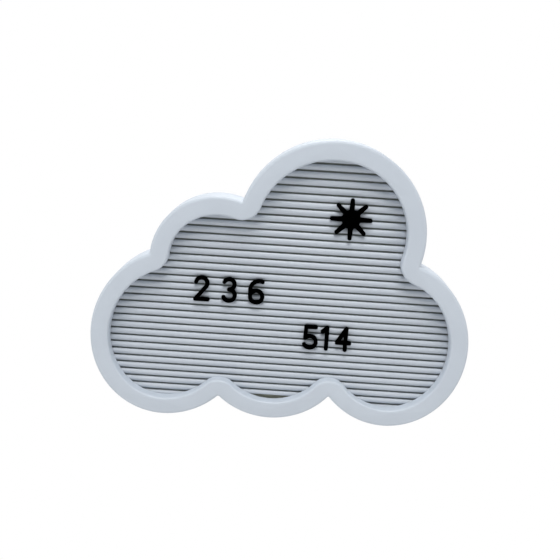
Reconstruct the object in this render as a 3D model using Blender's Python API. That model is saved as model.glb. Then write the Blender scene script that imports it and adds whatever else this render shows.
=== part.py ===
"""Cloud-shaped letter board for a wall.

A moulded ring frame holds a ribbed letter panel between its inner wall and a screwed back cover. Digits and a sun
plug into the panel's slots by the fins on their backs.

X runs to the right for someone who looks at the board, Z up, and Y into the wall. The wall plane is Y = 0 and the
frame's face is at Y = -FRAME_DEPTH. X and Z are zero at the centre of the outline's box. All lengths are in metres.
"""
import math

import bmesh
import bpy

for old in list(bpy.data.objects):
    bpy.data.objects.remove(old, do_unlink=True)

# Outline: five overlapping lobes. Heights are over the base line that the left and right lobes stand on.
LEFT_LOBE_X = -0.0788
LEFT_LOBE_HALF_WIDTH = 0.0569
LEFT_LOBE_HALF_HEIGHT = 0.0643
LEFT_LOBE_LEAN = math.radians(-20.1)
UPPER_LEFT_LOBE_X = -0.0460
UPPER_LEFT_LOBE_HEIGHT = 0.1186
UPPER_LEFT_LOBE_RADIUS = 0.0478
TOP_LOBE_X = 0.0317
TOP_LOBE_HEIGHT = 0.1428
TOP_LOBE_RADIUS = 0.0654
RIGHT_LOBE_X = 0.0800
RIGHT_LOBE_HALF_WIDTH = 0.0564
RIGHT_LOBE_HALF_HEIGHT = 0.0637
RIGHT_LOBE_LEAN = math.radians(8.8)
RIGHT_LOBE_LIFT = 0.0017
MIDDLE_LOBE_X = -0.0038
MIDDLE_LOBE_LIFT = 0.0022
MIDDLE_LOBE_RADIUS = 0.0554
NOTCH_RADIUS = 0.0008
OUTLINE_STEP = 0.0070
NOTCH_STEPS = 5

# Frame section
FRAME_DEPTH = 0.0180
RING_WIDTH = 0.0131
FACE_WALL = 0.0020
OUTER_WALL = 0.0020
INNER_WALL = 0.0020
OUTER_EDGE_RADIUS = 0.0022
INNER_EDGE_RADIUS = 0.0015
PANEL_RECESS = 0.0077
EDGE_STEPS = 4

# Gap between neighbouring pieces
GAP = 0.0003

# Letter panel
SLOT_PITCH = 0.00533
SLOT_WIDTH = 0.0013
SLOT_DEPTH = 0.0030
RIB_CROWN = 0.0005
RIB_STEPS = 4
PANEL_BASE = 0.0016
PANEL_LAP = 0.0030
TOP_SLOT_DROP = 0.0163
LOWEST_SLOT_HEIGHT = 0.0155
PANEL_FOOT_HEIGHT = 0.0179

# Back cover and its screws
COVER_THICKNESS = 0.0024
SCREW_COUNT = 8
SCREW_INSET = 0.0063
SCREW_SHANK_RADIUS = 0.0012
SCREW_LENGTH = 0.0080
SCREW_HEAD_RADIUS = 0.0025
SCREW_HEAD_HEIGHT = 0.0011
SCREW_RECESS_WIDTH = 0.0006
SCREW_RECESS_SPAN = 0.0026
SCREW_RECESS_DEPTH = 0.0007
COUNTERBORE_DEPTH = 0.0016
BOSS_RADIUS = 0.0029
PEG_RADIUS = 0.0020
PEG_INSET = 0.0170
MIDDLE_PEG_SPACING = 0.0420
KEYHOLE_SPACING = 0.1000
KEYHOLE_HEIGHT = 0.0300
KEYHOLE_RADIUS = 0.0040
KEYHOLE_SLOT_WIDTH = 0.0042
KEYHOLE_SLOT_RISE = 0.0080

# Characters
DIGIT_HEIGHT = 0.0190
DIGIT_WIDTH = 0.0118
STROKE_WIDTH = 0.0029
CHARACTER_THICKNESS = 0.0020
FIN_THICKNESS = 0.0007
FIN_WIDTH = 0.0020
FIN_REACH = 0.0022
FIN_SINK = 0.0010
FIN_SLOTS_APART = 3
UPPER_GROUP_X = -0.0572
UPPER_GROUP_SPACING = 0.0196
UPPER_GROUP_SLOT = 16
LOWER_GROUP_X = 0.0226
LOWER_GROUP_SPACING = 0.0122
LOWER_GROUP_SLOT = 22
SUN_X = 0.0447
SUN_SLOT = 7
SUN_RISE = 0.0006
SUN_RAYS = 8
SUN_RADIUS = 0.0147
SUN_DISC_RADIUS = 0.0066
SUN_RAY_ROOT = 0.0040
SUN_RAY_TIP = 0.0026
SUN_FIN_WIDTH = 0.0036

# Planes worked out from the sizes above
FACE_Y = -FRAME_DEPTH
CREST_Y = FACE_Y + PANEL_RECESS
SLOT_FLOOR_Y = CREST_Y + SLOT_DEPTH
PANEL_BACK_Y = SLOT_FLOOR_Y + PANEL_BASE
COVER_FRONT_Y = -COVER_THICKNESS
PANEL_INSET = RING_WIDTH - PANEL_LAP
COVER_INSET = OUTER_WALL + GAP


class Lobe:
    """An ellipse that leans by an angle, with points given by its parameter angle."""

    def __init__(self, x, z, half_width, half_height, lean=0.0):
        self.x, self.z, self.lean = x, z, lean
        self.half_width, self.half_height = half_width, half_height

    def outward(self, angle):
        """Unit normal at a parameter angle."""
        across = math.cos(angle) / self.half_width
        up = math.sin(angle) / self.half_height
        size = math.hypot(across, up)
        return self.turned(across / size, up / size)

    def turned(self, across, up):
        """A direction in the lobe's own axes, given in the board's axes."""
        cos, sin = math.cos(self.lean), math.sin(self.lean)
        return across * cos - up * sin, across * sin + up * cos

    def point(self, angle, outset=0.0):
        """The point at a parameter angle, moved along the outward normal."""
        across, up = self.turned(self.half_width * math.cos(angle), self.half_height * math.sin(angle))
        normal = self.outward(angle)
        return self.x + across + outset * normal[0], self.z + up + outset * normal[1]

    def level_and_angle(self, x, z):
        """How far out a point is, 1 on the ellipse, and its parameter angle."""
        cos, sin = math.cos(-self.lean), math.sin(-self.lean)
        across = ((x - self.x) * cos - (z - self.z) * sin) / self.half_width
        up = ((x - self.x) * sin + (z - self.z) * cos) / self.half_height
        return math.hypot(across, up), math.atan2(up, across)

    def reach(self):
        """Half the width and half the height of the leaning ellipse's box."""
        cos, sin = math.cos(self.lean), math.sin(self.lean)
        wide = math.hypot(self.half_width * cos, self.half_height * sin)
        high = math.hypot(self.half_width * sin, self.half_height * cos)
        return wide, high


def standing_lobe(x, half_width, half_height, lean=0.0, lift=0.0):
    """A lobe whose lowest point is at a lift over the base line."""
    lobe = Lobe(x, 0.0, half_width, half_height, lean)
    lobe.z = lift + lobe.reach()[1]
    return lobe


def board_lobes():
    """The five lobes clockwise from the left one, centred on the outline's box."""
    lobes = [
        standing_lobe(LEFT_LOBE_X, LEFT_LOBE_HALF_WIDTH, LEFT_LOBE_HALF_HEIGHT, LEFT_LOBE_LEAN),
        Lobe(UPPER_LEFT_LOBE_X, UPPER_LEFT_LOBE_HEIGHT, UPPER_LEFT_LOBE_RADIUS, UPPER_LEFT_LOBE_RADIUS),
        Lobe(TOP_LOBE_X, TOP_LOBE_HEIGHT, TOP_LOBE_RADIUS, TOP_LOBE_RADIUS),
        standing_lobe(RIGHT_LOBE_X, RIGHT_LOBE_HALF_WIDTH, RIGHT_LOBE_HALF_HEIGHT,
                      lean=RIGHT_LOBE_LEAN, lift=RIGHT_LOBE_LIFT),
        standing_lobe(MIDDLE_LOBE_X, MIDDLE_LOBE_RADIUS, MIDDLE_LOBE_RADIUS, lift=MIDDLE_LOBE_LIFT),
    ]
    reaches = [lobe.reach() for lobe in lobes]
    left = min(lobe.x - wide for lobe, (wide, high) in zip(lobes, reaches))
    right = max(lobe.x + wide for lobe, (wide, high) in zip(lobes, reaches))
    base = min(lobe.z - high for lobe, (wide, high) in zip(lobes, reaches))
    top = max(lobe.z + high for lobe, (wide, high) in zip(lobes, reaches))
    for lobe in lobes:
        lobe.x -= (left + right) / 2
        lobe.z -= (base + top) / 2
    return lobes, (right - left) / 2, (top - base) / 2


LOBES, HALF_WIDTH, HALF_HEIGHT = board_lobes()
TOP_SLOT_Z = HALF_HEIGHT - TOP_SLOT_DROP
SLOT_COUNT = int((TOP_SLOT_Z + HALF_HEIGHT - LOWEST_SLOT_HEIGHT) / SLOT_PITCH) + 1


def notch(first, second):
    """The fillet between two lobes: its centre, and its contact angle on each lobe."""
    others = [lobe for lobe in LOBES if lobe not in (first, second)]
    search_steps = 720
    guess = None
    for step in range(search_steps):
        angle = 2 * math.pi * step / search_steps
        point = first.point(angle)
        after = first.point(angle + 2 * math.pi / search_steps)
        crosses = (second.level_and_angle(*point)[0] - 1) * (second.level_and_angle(*after)[0] - 1) <= 0
        if crosses and all(lobe.level_and_angle(*point)[0] > 1 for lobe in others):
            guess = angle, second.level_and_angle(*point)[1]
    on_first, on_second = guess
    for _ in range(20):
        nudge = 1e-6
        ax, az = first.point(on_first, NOTCH_RADIUS)
        bx, bz = second.point(on_second, NOTCH_RADIUS)
        a2x, a2z = first.point(on_first + nudge, NOTCH_RADIUS)
        b2x, b2z = second.point(on_second + nudge, NOTCH_RADIUS)
        ux, uz = (a2x - ax) / nudge, (a2z - az) / nudge
        vx, vz = (b2x - bx) / nudge, (b2z - bz) / nudge
        turn = vx * uz - ux * vz
        on_first += ((ax - bx) * vz - (az - bz) * vx) / turn
        on_second += ((ax - bx) * uz - (az - bz) * ux) / turn
    return first.point(on_first, NOTCH_RADIUS), on_first, on_second


NOTCHES = [notch(lobe, LOBES[(index + 1) % len(LOBES)]) for index, lobe in enumerate(LOBES)]


def outline(inset):
    """The outline moved inwards, as clockwise (x, z) points, as many at every inset."""
    loop = []
    for index, lobe in enumerate(LOBES):
        start = NOTCHES[index - 1][2]
        centre, end, on_next = NOTCHES[index]
        span = (start - end) % (2 * math.pi)
        size = (lobe.half_width + lobe.half_height) / 2
        steps = max(3, round(span * size / OUTLINE_STEP))
        loop += [lobe.point(start - span * step / steps, -inset) for step in range(steps + 1)]
        following = LOBES[(index + 1) % len(LOBES)]
        leave, meet = lobe.outward(end), following.outward(on_next)
        first = math.atan2(-leave[1], -leave[0])
        turn = (math.atan2(-meet[1], -meet[0]) - first + math.pi) % (2 * math.pi) - math.pi
        for step in range(1, NOTCH_STEPS):
            angle = first + turn * step / NOTCH_STEPS
            reach = NOTCH_RADIUS + inset
            loop.append((centre[0] + reach * math.cos(angle), centre[1] + reach * math.sin(angle)))
    return loop


def spaced(inset, count):
    """Points at equal distances along the outline at an inset, the first at the middle of the top."""
    loop = outline(inset)
    ends = list(zip(loop, loop[1:] + loop[:1]))
    top = max(range(len(loop)), key=lambda index: loop[index][1])
    ends = ends[top:] + ends[:top]
    whole = sum(math.dist(a, b) for a, b in ends)
    places = []
    gone = 0.0
    for a, b in ends:
        length = math.dist(a, b)
        while len(places) < count and whole * len(places) / count <= gone + length:
            share = (whole * len(places) / count - gone) / length
            places.append((a[0] + share * (b[0] - a[0]), a[1] + share * (b[1] - a[1])))
        gone += length
    return places


def paint(name, colour, roughness):
    """A Principled material of one plain colour."""
    material = bpy.data.materials.new(name)
    material.use_nodes = True
    shader = material.node_tree.nodes["Principled BSDF"]
    shader.inputs["Base Color"].default_value = (*colour, 1.0)
    shader.inputs["Roughness"].default_value = roughness
    material.diffuse_color = (*colour, 1.0)
    return material


WHITE_PLASTIC = paint("white_plastic", (0.62, 0.67, 0.74), 0.45)
PANEL_PLASTIC = paint("panel_plastic", (0.52, 0.57, 0.63), 0.5)
COVER_PLASTIC = paint("cover_plastic", (0.55, 0.56, 0.54), 0.55)
BLACK_PLASTIC = paint("black_plastic", (0.01, 0.01, 0.012), 0.4)
SCREW_STEEL = paint("screw_steel", (0.6, 0.6, 0.62), 0.35)


def finished(name, form, material):
    """An object from a bmesh, with its normals outwards and its round faces smooth."""
    bmesh.ops.recalc_face_normals(form, faces=form.faces)
    mesh = bpy.data.meshes.new(name)
    form.to_mesh(mesh)
    form.free()
    mesh.shade_smooth()
    mesh.set_sharp_from_angle(angle=math.radians(35))
    mesh.materials.append(material)
    piece = bpy.data.objects.new(name, mesh)
    bpy.context.collection.objects.link(piece)
    return piece


def guide(name, form):
    """A shape that only cuts or joins: left out of renders and drawn as wires."""
    shape = finished(name, form, WHITE_PLASTIC)
    shape.hide_render = True
    shape.display_type = "WIRE"
    return shape


def combine(piece, shape, operation):
    """A live Boolean on a piece."""
    modifier = piece.modifiers.new(shape.name, "BOOLEAN")
    modifier.operation = operation
    modifier.solver = "EXACT"
    modifier.object = shape


def applied(piece):
    """A piece's mesh with its Booleans applied and the splits in its flat faces dissolved."""
    bpy.context.view_layer.update()
    mesh = bpy.data.meshes.new_from_object(piece.evaluated_get(bpy.context.evaluated_depsgraph_get()))
    form = bmesh.new()
    form.from_mesh(mesh)
    bmesh.ops.remove_doubles(form, verts=form.verts, dist=1e-6)
    bmesh.ops.dissolve_limit(form, angle_limit=math.radians(1), verts=form.verts, edges=form.edges)
    form.to_mesh(mesh)
    form.free()
    for modifier in list(piece.modifiers):
        bpy.data.objects.remove(modifier.object, do_unlink=True)
        piece.modifiers.remove(modifier)
    return mesh


def add_loop(form, points, y):
    """The corners of a closed loop on a plane across Y."""
    return [form.verts.new((x, y, z)) for x, z in points]


def join_loops(form, near, far):
    """A band of faces between two loops with as many corners."""
    for index in range(len(near)):
        form.faces.new((near[index - 1], near[index], far[index], far[index - 1]))


def add_slab(form, points, front_y, back_y):
    """A closed plate between two planes across Y."""
    front = add_loop(form, points, front_y)
    back = add_loop(form, points, back_y)
    form.faces.new(front)
    form.faces.new(back)
    join_loops(form, front, back)


def circle(centre, radius, sides):
    """The corners of a round outline."""
    turns = [2 * math.pi * (side + 0.5) / sides for side in range(sides)]
    return [(centre[0] + radius * math.cos(turn), centre[1] + radius * math.sin(turn)) for turn in turns]


def box(low, high):
    """The corners of an upright rectangle."""
    return [low, (low[0], high[1]), high, (high[0], low[1])]


def rounds(places, radius, sides, front_y, back_y):
    """A bmesh of round rods along Y."""
    form = bmesh.new()
    for place in places:
        add_slab(form, circle(place, radius, sides), front_y, back_y)
    return form


def build_frame():
    """The moulded ring: a channel open at the back, with a boss for each screw."""
    inner_edge = RING_WIDTH - INNER_EDGE_RADIUS
    turns = [math.pi / 2 * step / EDGE_STEPS for step in range(EDGE_STEPS + 1)]
    section = [(0.0, 0.0)]
    section += [(OUTER_EDGE_RADIUS * (1 - math.cos(turn)), FACE_Y + OUTER_EDGE_RADIUS * (1 - math.sin(turn)))
                for turn in turns]
    section += [(inner_edge + INNER_EDGE_RADIUS * math.sin(turn), FACE_Y + INNER_EDGE_RADIUS * (1 - math.cos(turn)))
                for turn in turns]
    wall_end = CREST_Y - GAP
    inside = FACE_Y + FACE_WALL
    corner = max(OUTER_EDGE_RADIUS - OUTER_WALL, OUTER_WALL / 10)
    section += [(RING_WIDTH, wall_end), (RING_WIDTH - INNER_WALL, wall_end), (RING_WIDTH - INNER_WALL, inside)]
    section += [(OUTER_WALL + corner, inside), (OUTER_WALL, inside + corner), (OUTER_WALL, 0.0)]
    form = bmesh.new()
    loops = [add_loop(form, outline(inset), y) for inset, y in section]
    for near, far in zip(loops, loops[1:] + loops[:1]):
        join_loops(form, near, far)
    frame = finished("frame", form, WHITE_PLASTIC)
    places = spaced(SCREW_INSET, SCREW_COUNT)
    boss_end = COVER_FRONT_Y - GAP
    bosses = guide("boss_shapes", rounds(places, BOSS_RADIUS, 14, inside - FACE_WALL / 4, boss_end))
    bore = rounds(places, SCREW_SHANK_RADIUS + GAP, 10, -SCREW_LENGTH - 2 * GAP, 0.0)
    combine(frame, bosses, "UNION")
    combine(frame, guide("boss_bores", bore), "DIFFERENCE")


def build_panel():
    """The ribbed panel: a crowned rib between each two slots, cut to the cloud, and flat at its foot."""
    profile = [(PANEL_BACK_Y, -HALF_HEIGHT), (PANEL_BACK_Y, HALF_HEIGHT)]
    rib = (SLOT_PITCH - SLOT_WIDTH) / 2
    for index in range(SLOT_COUNT + 1):
        slot_z = TOP_SLOT_Z - SLOT_PITCH * index
        middle = slot_z + SLOT_PITCH / 2
        above = HALF_HEIGHT - middle if index == 0 else rib
        below = middle + HALF_HEIGHT if index == SLOT_COUNT else rib
        for step in range(RIB_STEPS + 1):
            across = 1 - 2 * step / RIB_STEPS
            reach = above if across > 0 else below
            profile.append((CREST_Y + RIB_CROWN * across ** 2, middle + across * reach))
        if index < SLOT_COUNT:
            profile += [(SLOT_FLOOR_Y, slot_z + SLOT_WIDTH / 2), (SLOT_FLOOR_Y, slot_z - SLOT_WIDTH / 2)]
    form = bmesh.new()
    corners = [form.verts.new((-HALF_WIDTH, y, z)) for y, z in profile]
    face = form.faces.new(corners)
    drawn = bmesh.ops.extrude_face_region(form, geom=[face])
    moved = [item for item in drawn["geom"] if isinstance(item, bmesh.types.BMVert)]
    bmesh.ops.translate(form, verts=moved, vec=(2 * HALF_WIDTH, 0.0, 0.0))
    panel = finished("letter_panel", form, PANEL_PLASTIC)
    cloud = bmesh.new()
    add_slab(cloud, outline(PANEL_INSET), CREST_Y - SLOT_PITCH, PANEL_BACK_Y + SLOT_PITCH)
    combine(panel, guide("panel_cloud", cloud), "INTERSECT")
    foot = PANEL_FOOT_HEIGHT - HALF_HEIGHT
    middle_lobe = LOBES[-1]
    radius = middle_lobe.half_height - PANEL_INSET
    deep = min(foot - (middle_lobe.z - radius), radius)
    chord = math.sqrt(max(radius ** 2 - (radius - deep) ** 2, 0.0)) + SLOT_PITCH
    trim = bmesh.new()
    low = (middle_lobe.x - chord, -HALF_HEIGHT - SLOT_PITCH)
    add_slab(trim, box(low, (middle_lobe.x + chord, foot)), CREST_Y - SLOT_PITCH, SLOT_FLOOR_Y)
    combine(panel, guide("panel_foot_flat", trim), "DIFFERENCE")


def build_cover():
    """The flat cover, flush with the frame's back edge: keyholes, counterbored screw holes, pegs to the panel."""
    form = bmesh.new()
    add_slab(form, outline(COVER_INSET), COVER_FRONT_Y, 0.0)
    cover = finished("back_cover", form, COVER_PLASTIC)
    pegs = spaced(PEG_INSET, SCREW_COUNT)
    pegs += [(side * MIDDLE_PEG_SPACING, 0.0) for side in (-1, 0, 1)]
    peg_shapes = rounds(pegs, PEG_RADIUS, 12, PANEL_BACK_Y + GAP, COVER_FRONT_Y + COVER_THICKNESS / 4)
    combine(cover, guide("peg_shapes", peg_shapes), "UNION")
    places = spaced(SCREW_INSET, SCREW_COUNT)
    beyond = COVER_THICKNESS
    holes = rounds(places, SCREW_SHANK_RADIUS + GAP, 12, COVER_FRONT_Y - beyond, beyond)
    combine(cover, guide("screw_holes", holes), "DIFFERENCE")
    bores = rounds(places, SCREW_HEAD_RADIUS + GAP, 16, -COUNTERBORE_DEPTH, beyond)
    combine(cover, guide("counterbores", bores), "DIFFERENCE")
    keyholes = bmesh.new()
    half = KEYHOLE_SLOT_WIDTH / 2
    open_angle = math.acos(half / KEYHOLE_RADIUS)
    for side in (-1, 1):
        x = side * KEYHOLE_SPACING / 2
        top = KEYHOLE_HEIGHT + KEYHOLE_SLOT_RISE
        sweep = 2 * math.pi - (math.pi - 2 * open_angle)
        big = [math.pi - open_angle + sweep * step / 18 for step in range(19)]
        small = [math.pi * step / 8 for step in range(9)]
        points = [(x + KEYHOLE_RADIUS * math.cos(turn), KEYHOLE_HEIGHT + KEYHOLE_RADIUS * math.sin(turn))
                  for turn in big]
        points += [(x + half * math.cos(turn), top + half * math.sin(turn)) for turn in small]
        add_slab(keyholes, points, COVER_FRONT_Y - beyond, beyond)
    combine(cover, guide("keyholes", keyholes), "DIFFERENCE")


def build_screws():
    """A cross-recess screw at each boss, its head below the cover's back."""
    seat = -COUNTERBORE_DEPTH + GAP
    head_top = seat + SCREW_HEAD_HEIGHT
    head_sides, shank_sides = 16, 8
    form = bmesh.new()
    rim = add_loop(form, circle((0.0, 0.0), SCREW_HEAD_RADIUS, head_sides), seat)
    shoulder = add_loop(form, circle((0.0, 0.0), SCREW_HEAD_RADIUS, head_sides), seat + SCREW_HEAD_HEIGHT / 2)
    crown = add_loop(form, circle((0.0, 0.0), SCREW_HEAD_RADIUS - SCREW_HEAD_HEIGHT / 2, head_sides), head_top)
    join_loops(form, rim, shoulder)
    join_loops(form, shoulder, crown)
    form.faces.new(rim)
    form.faces.new(crown)
    head = finished("screw_head", form, SCREW_STEEL)
    shank = rounds([(0.0, 0.0)], SCREW_SHANK_RADIUS, shank_sides, -SCREW_LENGTH, seat + SCREW_HEAD_HEIGHT / 4)
    combine(head, guide("screw_shank", shank), "UNION")
    recess = bmesh.new()
    long, wide = SCREW_RECESS_SPAN / 2, SCREW_RECESS_WIDTH / 2
    cross = [(wide, long), (wide, wide), (long, wide), (long, -wide), (wide, -wide), (wide, -long)]
    cross += [(-x, -z) for x, z in cross]
    add_slab(recess, cross, head_top - SCREW_RECESS_DEPTH, head_top + SCREW_RECESS_DEPTH)
    combine(head, guide("screw_recess", recess), "DIFFERENCE")
    shaped = applied(head)
    bpy.data.objects.remove(head, do_unlink=True)
    for index, (x, z) in enumerate(spaced(SCREW_INSET, SCREW_COUNT)):
        screw = bpy.data.objects.new(f"cover_screw_{index + 1}", shaped)
        screw.location = (x, 0.0, z)
        bpy.context.collection.objects.link(screw)


def arc(centre, radii, first, last):
    """Points of an elliptical arc between two angles in degrees."""
    steps = max(2, round(abs(last - first) / 22))
    turns = [math.radians(first + (last - first) * step / steps) for step in range(steps + 1)]
    return [(centre[0] + radii[0] * math.cos(turn), centre[1] + radii[1] * math.sin(turn)) for turn in turns]


def stroke_outline(path):
    """The outline of a pen stroke of the stroke width along a path, with round ends."""
    half = STROKE_WIDTH / 2
    headings = [math.atan2(b[1] - a[1], b[0] - a[0]) for a, b in zip(path, path[1:])]
    sides = {1: [], -1: []}
    for index, (x, z) in enumerate(path):
        before = headings[max(index - 1, 0)]
        after = headings[min(index, len(headings) - 1)]
        bend = (after - before + math.pi) % (2 * math.pi) - math.pi
        heading = before + bend / 2
        reach = half / math.cos(bend / 2)
        for side in sides:
            sides[side].append((x - side * reach * math.sin(heading), z + side * reach * math.cos(heading)))
    end_cap = [(path[-1][0] + half * math.cos(headings[-1] + turn), path[-1][1] + half * math.sin(headings[-1] + turn))
               for turn in (math.pi / 4, 0.0, -math.pi / 4)]
    start = headings[0] + math.pi
    start_cap = [(path[0][0] + half * math.cos(start + turn), path[0][1] + half * math.sin(start + turn))
                 for turn in (math.pi / 4, 0.0, -math.pi / 4)]
    return sides[1] + end_cap + sides[-1][::-1] + start_cap


def digit_strokes():
    """The pen paths of each digit about its centre, and where its upper and lower fins stand."""
    w = (DIGIT_WIDTH - STROKE_WIDTH) / 2
    h = (DIGIT_HEIGHT - STROKE_WIDTH) / 2
    two_arc = 0.50 * h
    three_upper, three_lower = 0.47 * h, 0.53 * h
    five_bowl = 0.58 * h
    six_bowl = 0.56 * h
    stem = 0.35 * w
    bar = -0.34 * h
    return {
        "digit_one": ([[(-0.75 * w, 0.62 * h), (0.0, h)], [(0.0, h), (0.0, -h)]], 0.0, 0.0),
        "digit_two": ([arc((0.0, h - two_arc), (w, two_arc), 170, -30) + [(-w, -h)], [(-w, -h), (w, -h)]], 0.0, 0.0),
        "digit_three": ([arc((0.0, h - three_upper), (0.9 * w, three_upper), 155, -90),
                         arc((0.0, three_lower - h), (w, three_lower), 90, -155)], 0.0, 0.0),
        "digit_four": ([[(stem, h), (stem, -h)], [(stem, h), (-w, bar)], [(-w, bar), (w, bar)]], stem, stem),
        "digit_five": ([[(0.85 * w, h), (-0.7 * w, h)],
                        [(-0.7 * w, h)] + arc((0.0, five_bowl - h), (w, five_bowl), 140, -150)], 0.0, 0.0),
        "digit_six": ([arc((0.25 * w, six_bowl - h), (1.25 * w, 2 * h - six_bowl), 180, 68),
                       arc((0.0, six_bowl - h), (w, six_bowl), 180, -90),
                       arc((0.0, six_bowl - h), (w, six_bowl), -90, -180)], 0.25 * w, 0.0),
    }


def add_fins(piece, places, width):
    """Fins on a character's back that reach down into the panel's slots."""
    form = bmesh.new()
    back_y = CREST_Y - GAP
    for x, z in places:
        low = (x - width / 2, z - FIN_THICKNESS / 2)
        high = (x + width / 2, z + FIN_THICKNESS / 2)
        add_slab(form, box(low, high), back_y - FIN_SINK, CREST_Y + FIN_REACH)
    combine(piece, guide(piece.name + "_fins", form), "UNION")


def slot_z(index):
    """The height of a slot's middle, counted from the top slot."""
    return TOP_SLOT_Z - SLOT_PITCH * index


def build_digit(name, x, upper_slot):
    """One black digit, plugged into two slots."""
    strokes, upper_x, lower_x = digit_strokes()[name]
    upper_z, lower_z = slot_z(upper_slot), slot_z(upper_slot + FIN_SLOTS_APART)
    middle_z = (upper_z + lower_z) / 2
    back_y = CREST_Y - GAP
    digit = None
    for index, path in enumerate(strokes):
        form = bmesh.new()
        points = [(x + across, middle_z + up) for across, up in stroke_outline(path)]
        add_slab(form, points, back_y - CHARACTER_THICKNESS, back_y)
        if digit is None:
            digit = finished(name, form, BLACK_PLASTIC)
        else:
            combine(digit, guide(f"{name}_stroke_{index + 1}", form), "UNION")
    add_fins(digit, [(x + upper_x, upper_z), (x + lower_x, lower_z)], FIN_WIDTH)
    digit.data = applied(digit)


def build_sun():
    """The black sun: a disc with eight tapering rays, plugged in over and under its middle."""
    centre_z = slot_z(SUN_SLOT) + SUN_RISE
    root, tip = SUN_RAY_ROOT / 2, SUN_RAY_TIP / 2
    shoulder = SUN_RADIUS - tip
    points = []
    for ray in range(SUN_RAYS):
        heading = math.pi / 2 - 2 * math.pi * ray / SUN_RAYS
        foot = math.sqrt(SUN_DISC_RADIUS ** 2 - root ** 2)
        steps = [(foot, root), (shoulder, tip), (SUN_RADIUS, 0.0), (shoulder, -tip), (foot, -root)]
        for out, aside in steps:
            points.append((SUN_X + out * math.cos(heading) - aside * math.sin(heading),
                           centre_z + out * math.sin(heading) + aside * math.cos(heading)))
    back_y = CREST_Y - GAP
    form = bmesh.new()
    add_slab(form, points, back_y - CHARACTER_THICKNESS, back_y)
    sun = finished("sun_symbol", form, BLACK_PLASTIC)
    add_fins(sun, [(SUN_X, slot_z(SUN_SLOT - 1)), (SUN_X, slot_z(SUN_SLOT + 1))], SUN_FIN_WIDTH)
    sun.data = applied(sun)


build_frame()
build_panel()
build_cover()
build_screws()
for place, name in enumerate(("digit_two", "digit_three", "digit_six")):
    build_digit(name, UPPER_GROUP_X + UPPER_GROUP_SPACING * place, UPPER_GROUP_SLOT)
for place, name in enumerate(("digit_five", "digit_one", "digit_four")):
    build_digit(name, LOWER_GROUP_X + LOWER_GROUP_SPACING * place, LOWER_GROUP_SLOT)
build_sun()
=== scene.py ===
"""A cloud-shaped letter board for the wall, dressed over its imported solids.

X runs to the right, Z up and Y into the wall, with the wall at Y = 0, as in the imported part. Lengths are in
metres.
"""
import math

import bmesh
import bpy
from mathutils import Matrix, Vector


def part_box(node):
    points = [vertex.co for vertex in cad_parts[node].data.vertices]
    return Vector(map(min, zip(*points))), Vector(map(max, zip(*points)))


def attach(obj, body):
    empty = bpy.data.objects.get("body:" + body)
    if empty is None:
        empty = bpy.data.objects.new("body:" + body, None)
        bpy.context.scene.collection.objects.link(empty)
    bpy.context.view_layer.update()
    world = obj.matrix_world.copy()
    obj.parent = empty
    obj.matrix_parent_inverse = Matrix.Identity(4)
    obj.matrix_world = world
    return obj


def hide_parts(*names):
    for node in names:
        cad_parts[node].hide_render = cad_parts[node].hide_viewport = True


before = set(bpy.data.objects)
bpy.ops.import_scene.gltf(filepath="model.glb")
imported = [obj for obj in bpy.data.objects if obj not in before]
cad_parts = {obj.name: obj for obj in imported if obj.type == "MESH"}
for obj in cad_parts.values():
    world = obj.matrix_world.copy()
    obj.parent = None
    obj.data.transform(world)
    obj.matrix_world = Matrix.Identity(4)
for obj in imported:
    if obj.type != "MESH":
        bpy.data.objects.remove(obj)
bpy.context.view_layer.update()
MM = 0.001

# Frame: one white moulding, a ring of constant width that follows the cloud. Two thin walls run back from its
# flat face, rounded off where they meet it, and the channel between them holds a boss for each screw.
RING_WIDTH = 13.1 * MM
FACE_Y = -18.0 * MM
INNER_WALL_END_Y = -10.6 * MM
WALL = 2.0 * MM
OUTER_EDGE_RADIUS = 2.2 * MM
OUTER_EDGE_STEPS = 8
INNER_EDGE_RADIUS = 1.5 * MM
INNER_EDGE_STEPS = 6
FLAT_MARGIN = 0.4 * MM
BOSS_RADIUS = 2.9 * MM
BOSS_BORE_RADIUS = 1.5 * MM
BOSS_BORE_DEPTH = 5.9 * MM
BOSS_END_Y = -2.7 * MM
BOSS_SIDES = 24
# The cloud's lobes, each an ellipse: centre x and z, half width and half height in mm, and lean in degrees.
LOBES = (
    (-78.8, -40.6, 56.9, 64.3, -20.1),
    (-46.0, 14.5, 47.8, 47.8, 0.0),
    (31.7, 38.7, 65.4, 65.4, 0.0),
    (80.0, -38.9, 56.4, 63.7, 8.8),
    (-3.8, -46.5, 55.4, 55.4, 0.0),
)
LOBE_STEP = 1.8 * MM
NOTCH_REACH = 1.0 * MM
NOTCH_STEPS = 8
NOTCH_CLEARED = 1.5 * NOTCH_REACH
ALONG_Y = (math.pi / 2, 0.0, 0.0)
OUTLINE_MERGE = 0.01 * MM
MERGE = 0.002 * MM
FLAT_ANGLE = math.radians(0.3)
SMOOTH_ANGLE = math.radians(35.0)


def choose(*pieces):
    """Selects only these pieces, the first of them active."""
    bpy.ops.object.select_all(action="DESELECT")
    for piece in pieces:
        piece.select_set(True)
    bpy.context.view_layer.objects.active = pieces[0]


def settled(name=None):
    """The primitive that was just added, with its place, turn and size written into its mesh."""
    piece = bpy.context.object
    choose(piece)
    bpy.ops.object.transform_apply(location=True, rotation=True, scale=True)
    if name:
        piece.name = name
        piece.data.name = name
    return piece


def edit(piece):
    """Opens a piece in edit mode with all of it selected."""
    choose(piece)
    bpy.ops.object.mode_set(mode="EDIT")
    bpy.ops.mesh.select_mode(type="VERT")
    bpy.ops.mesh.select_all(action="SELECT")


def leave():
    """Back to object mode."""
    bpy.ops.object.mode_set(mode="OBJECT")


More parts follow.
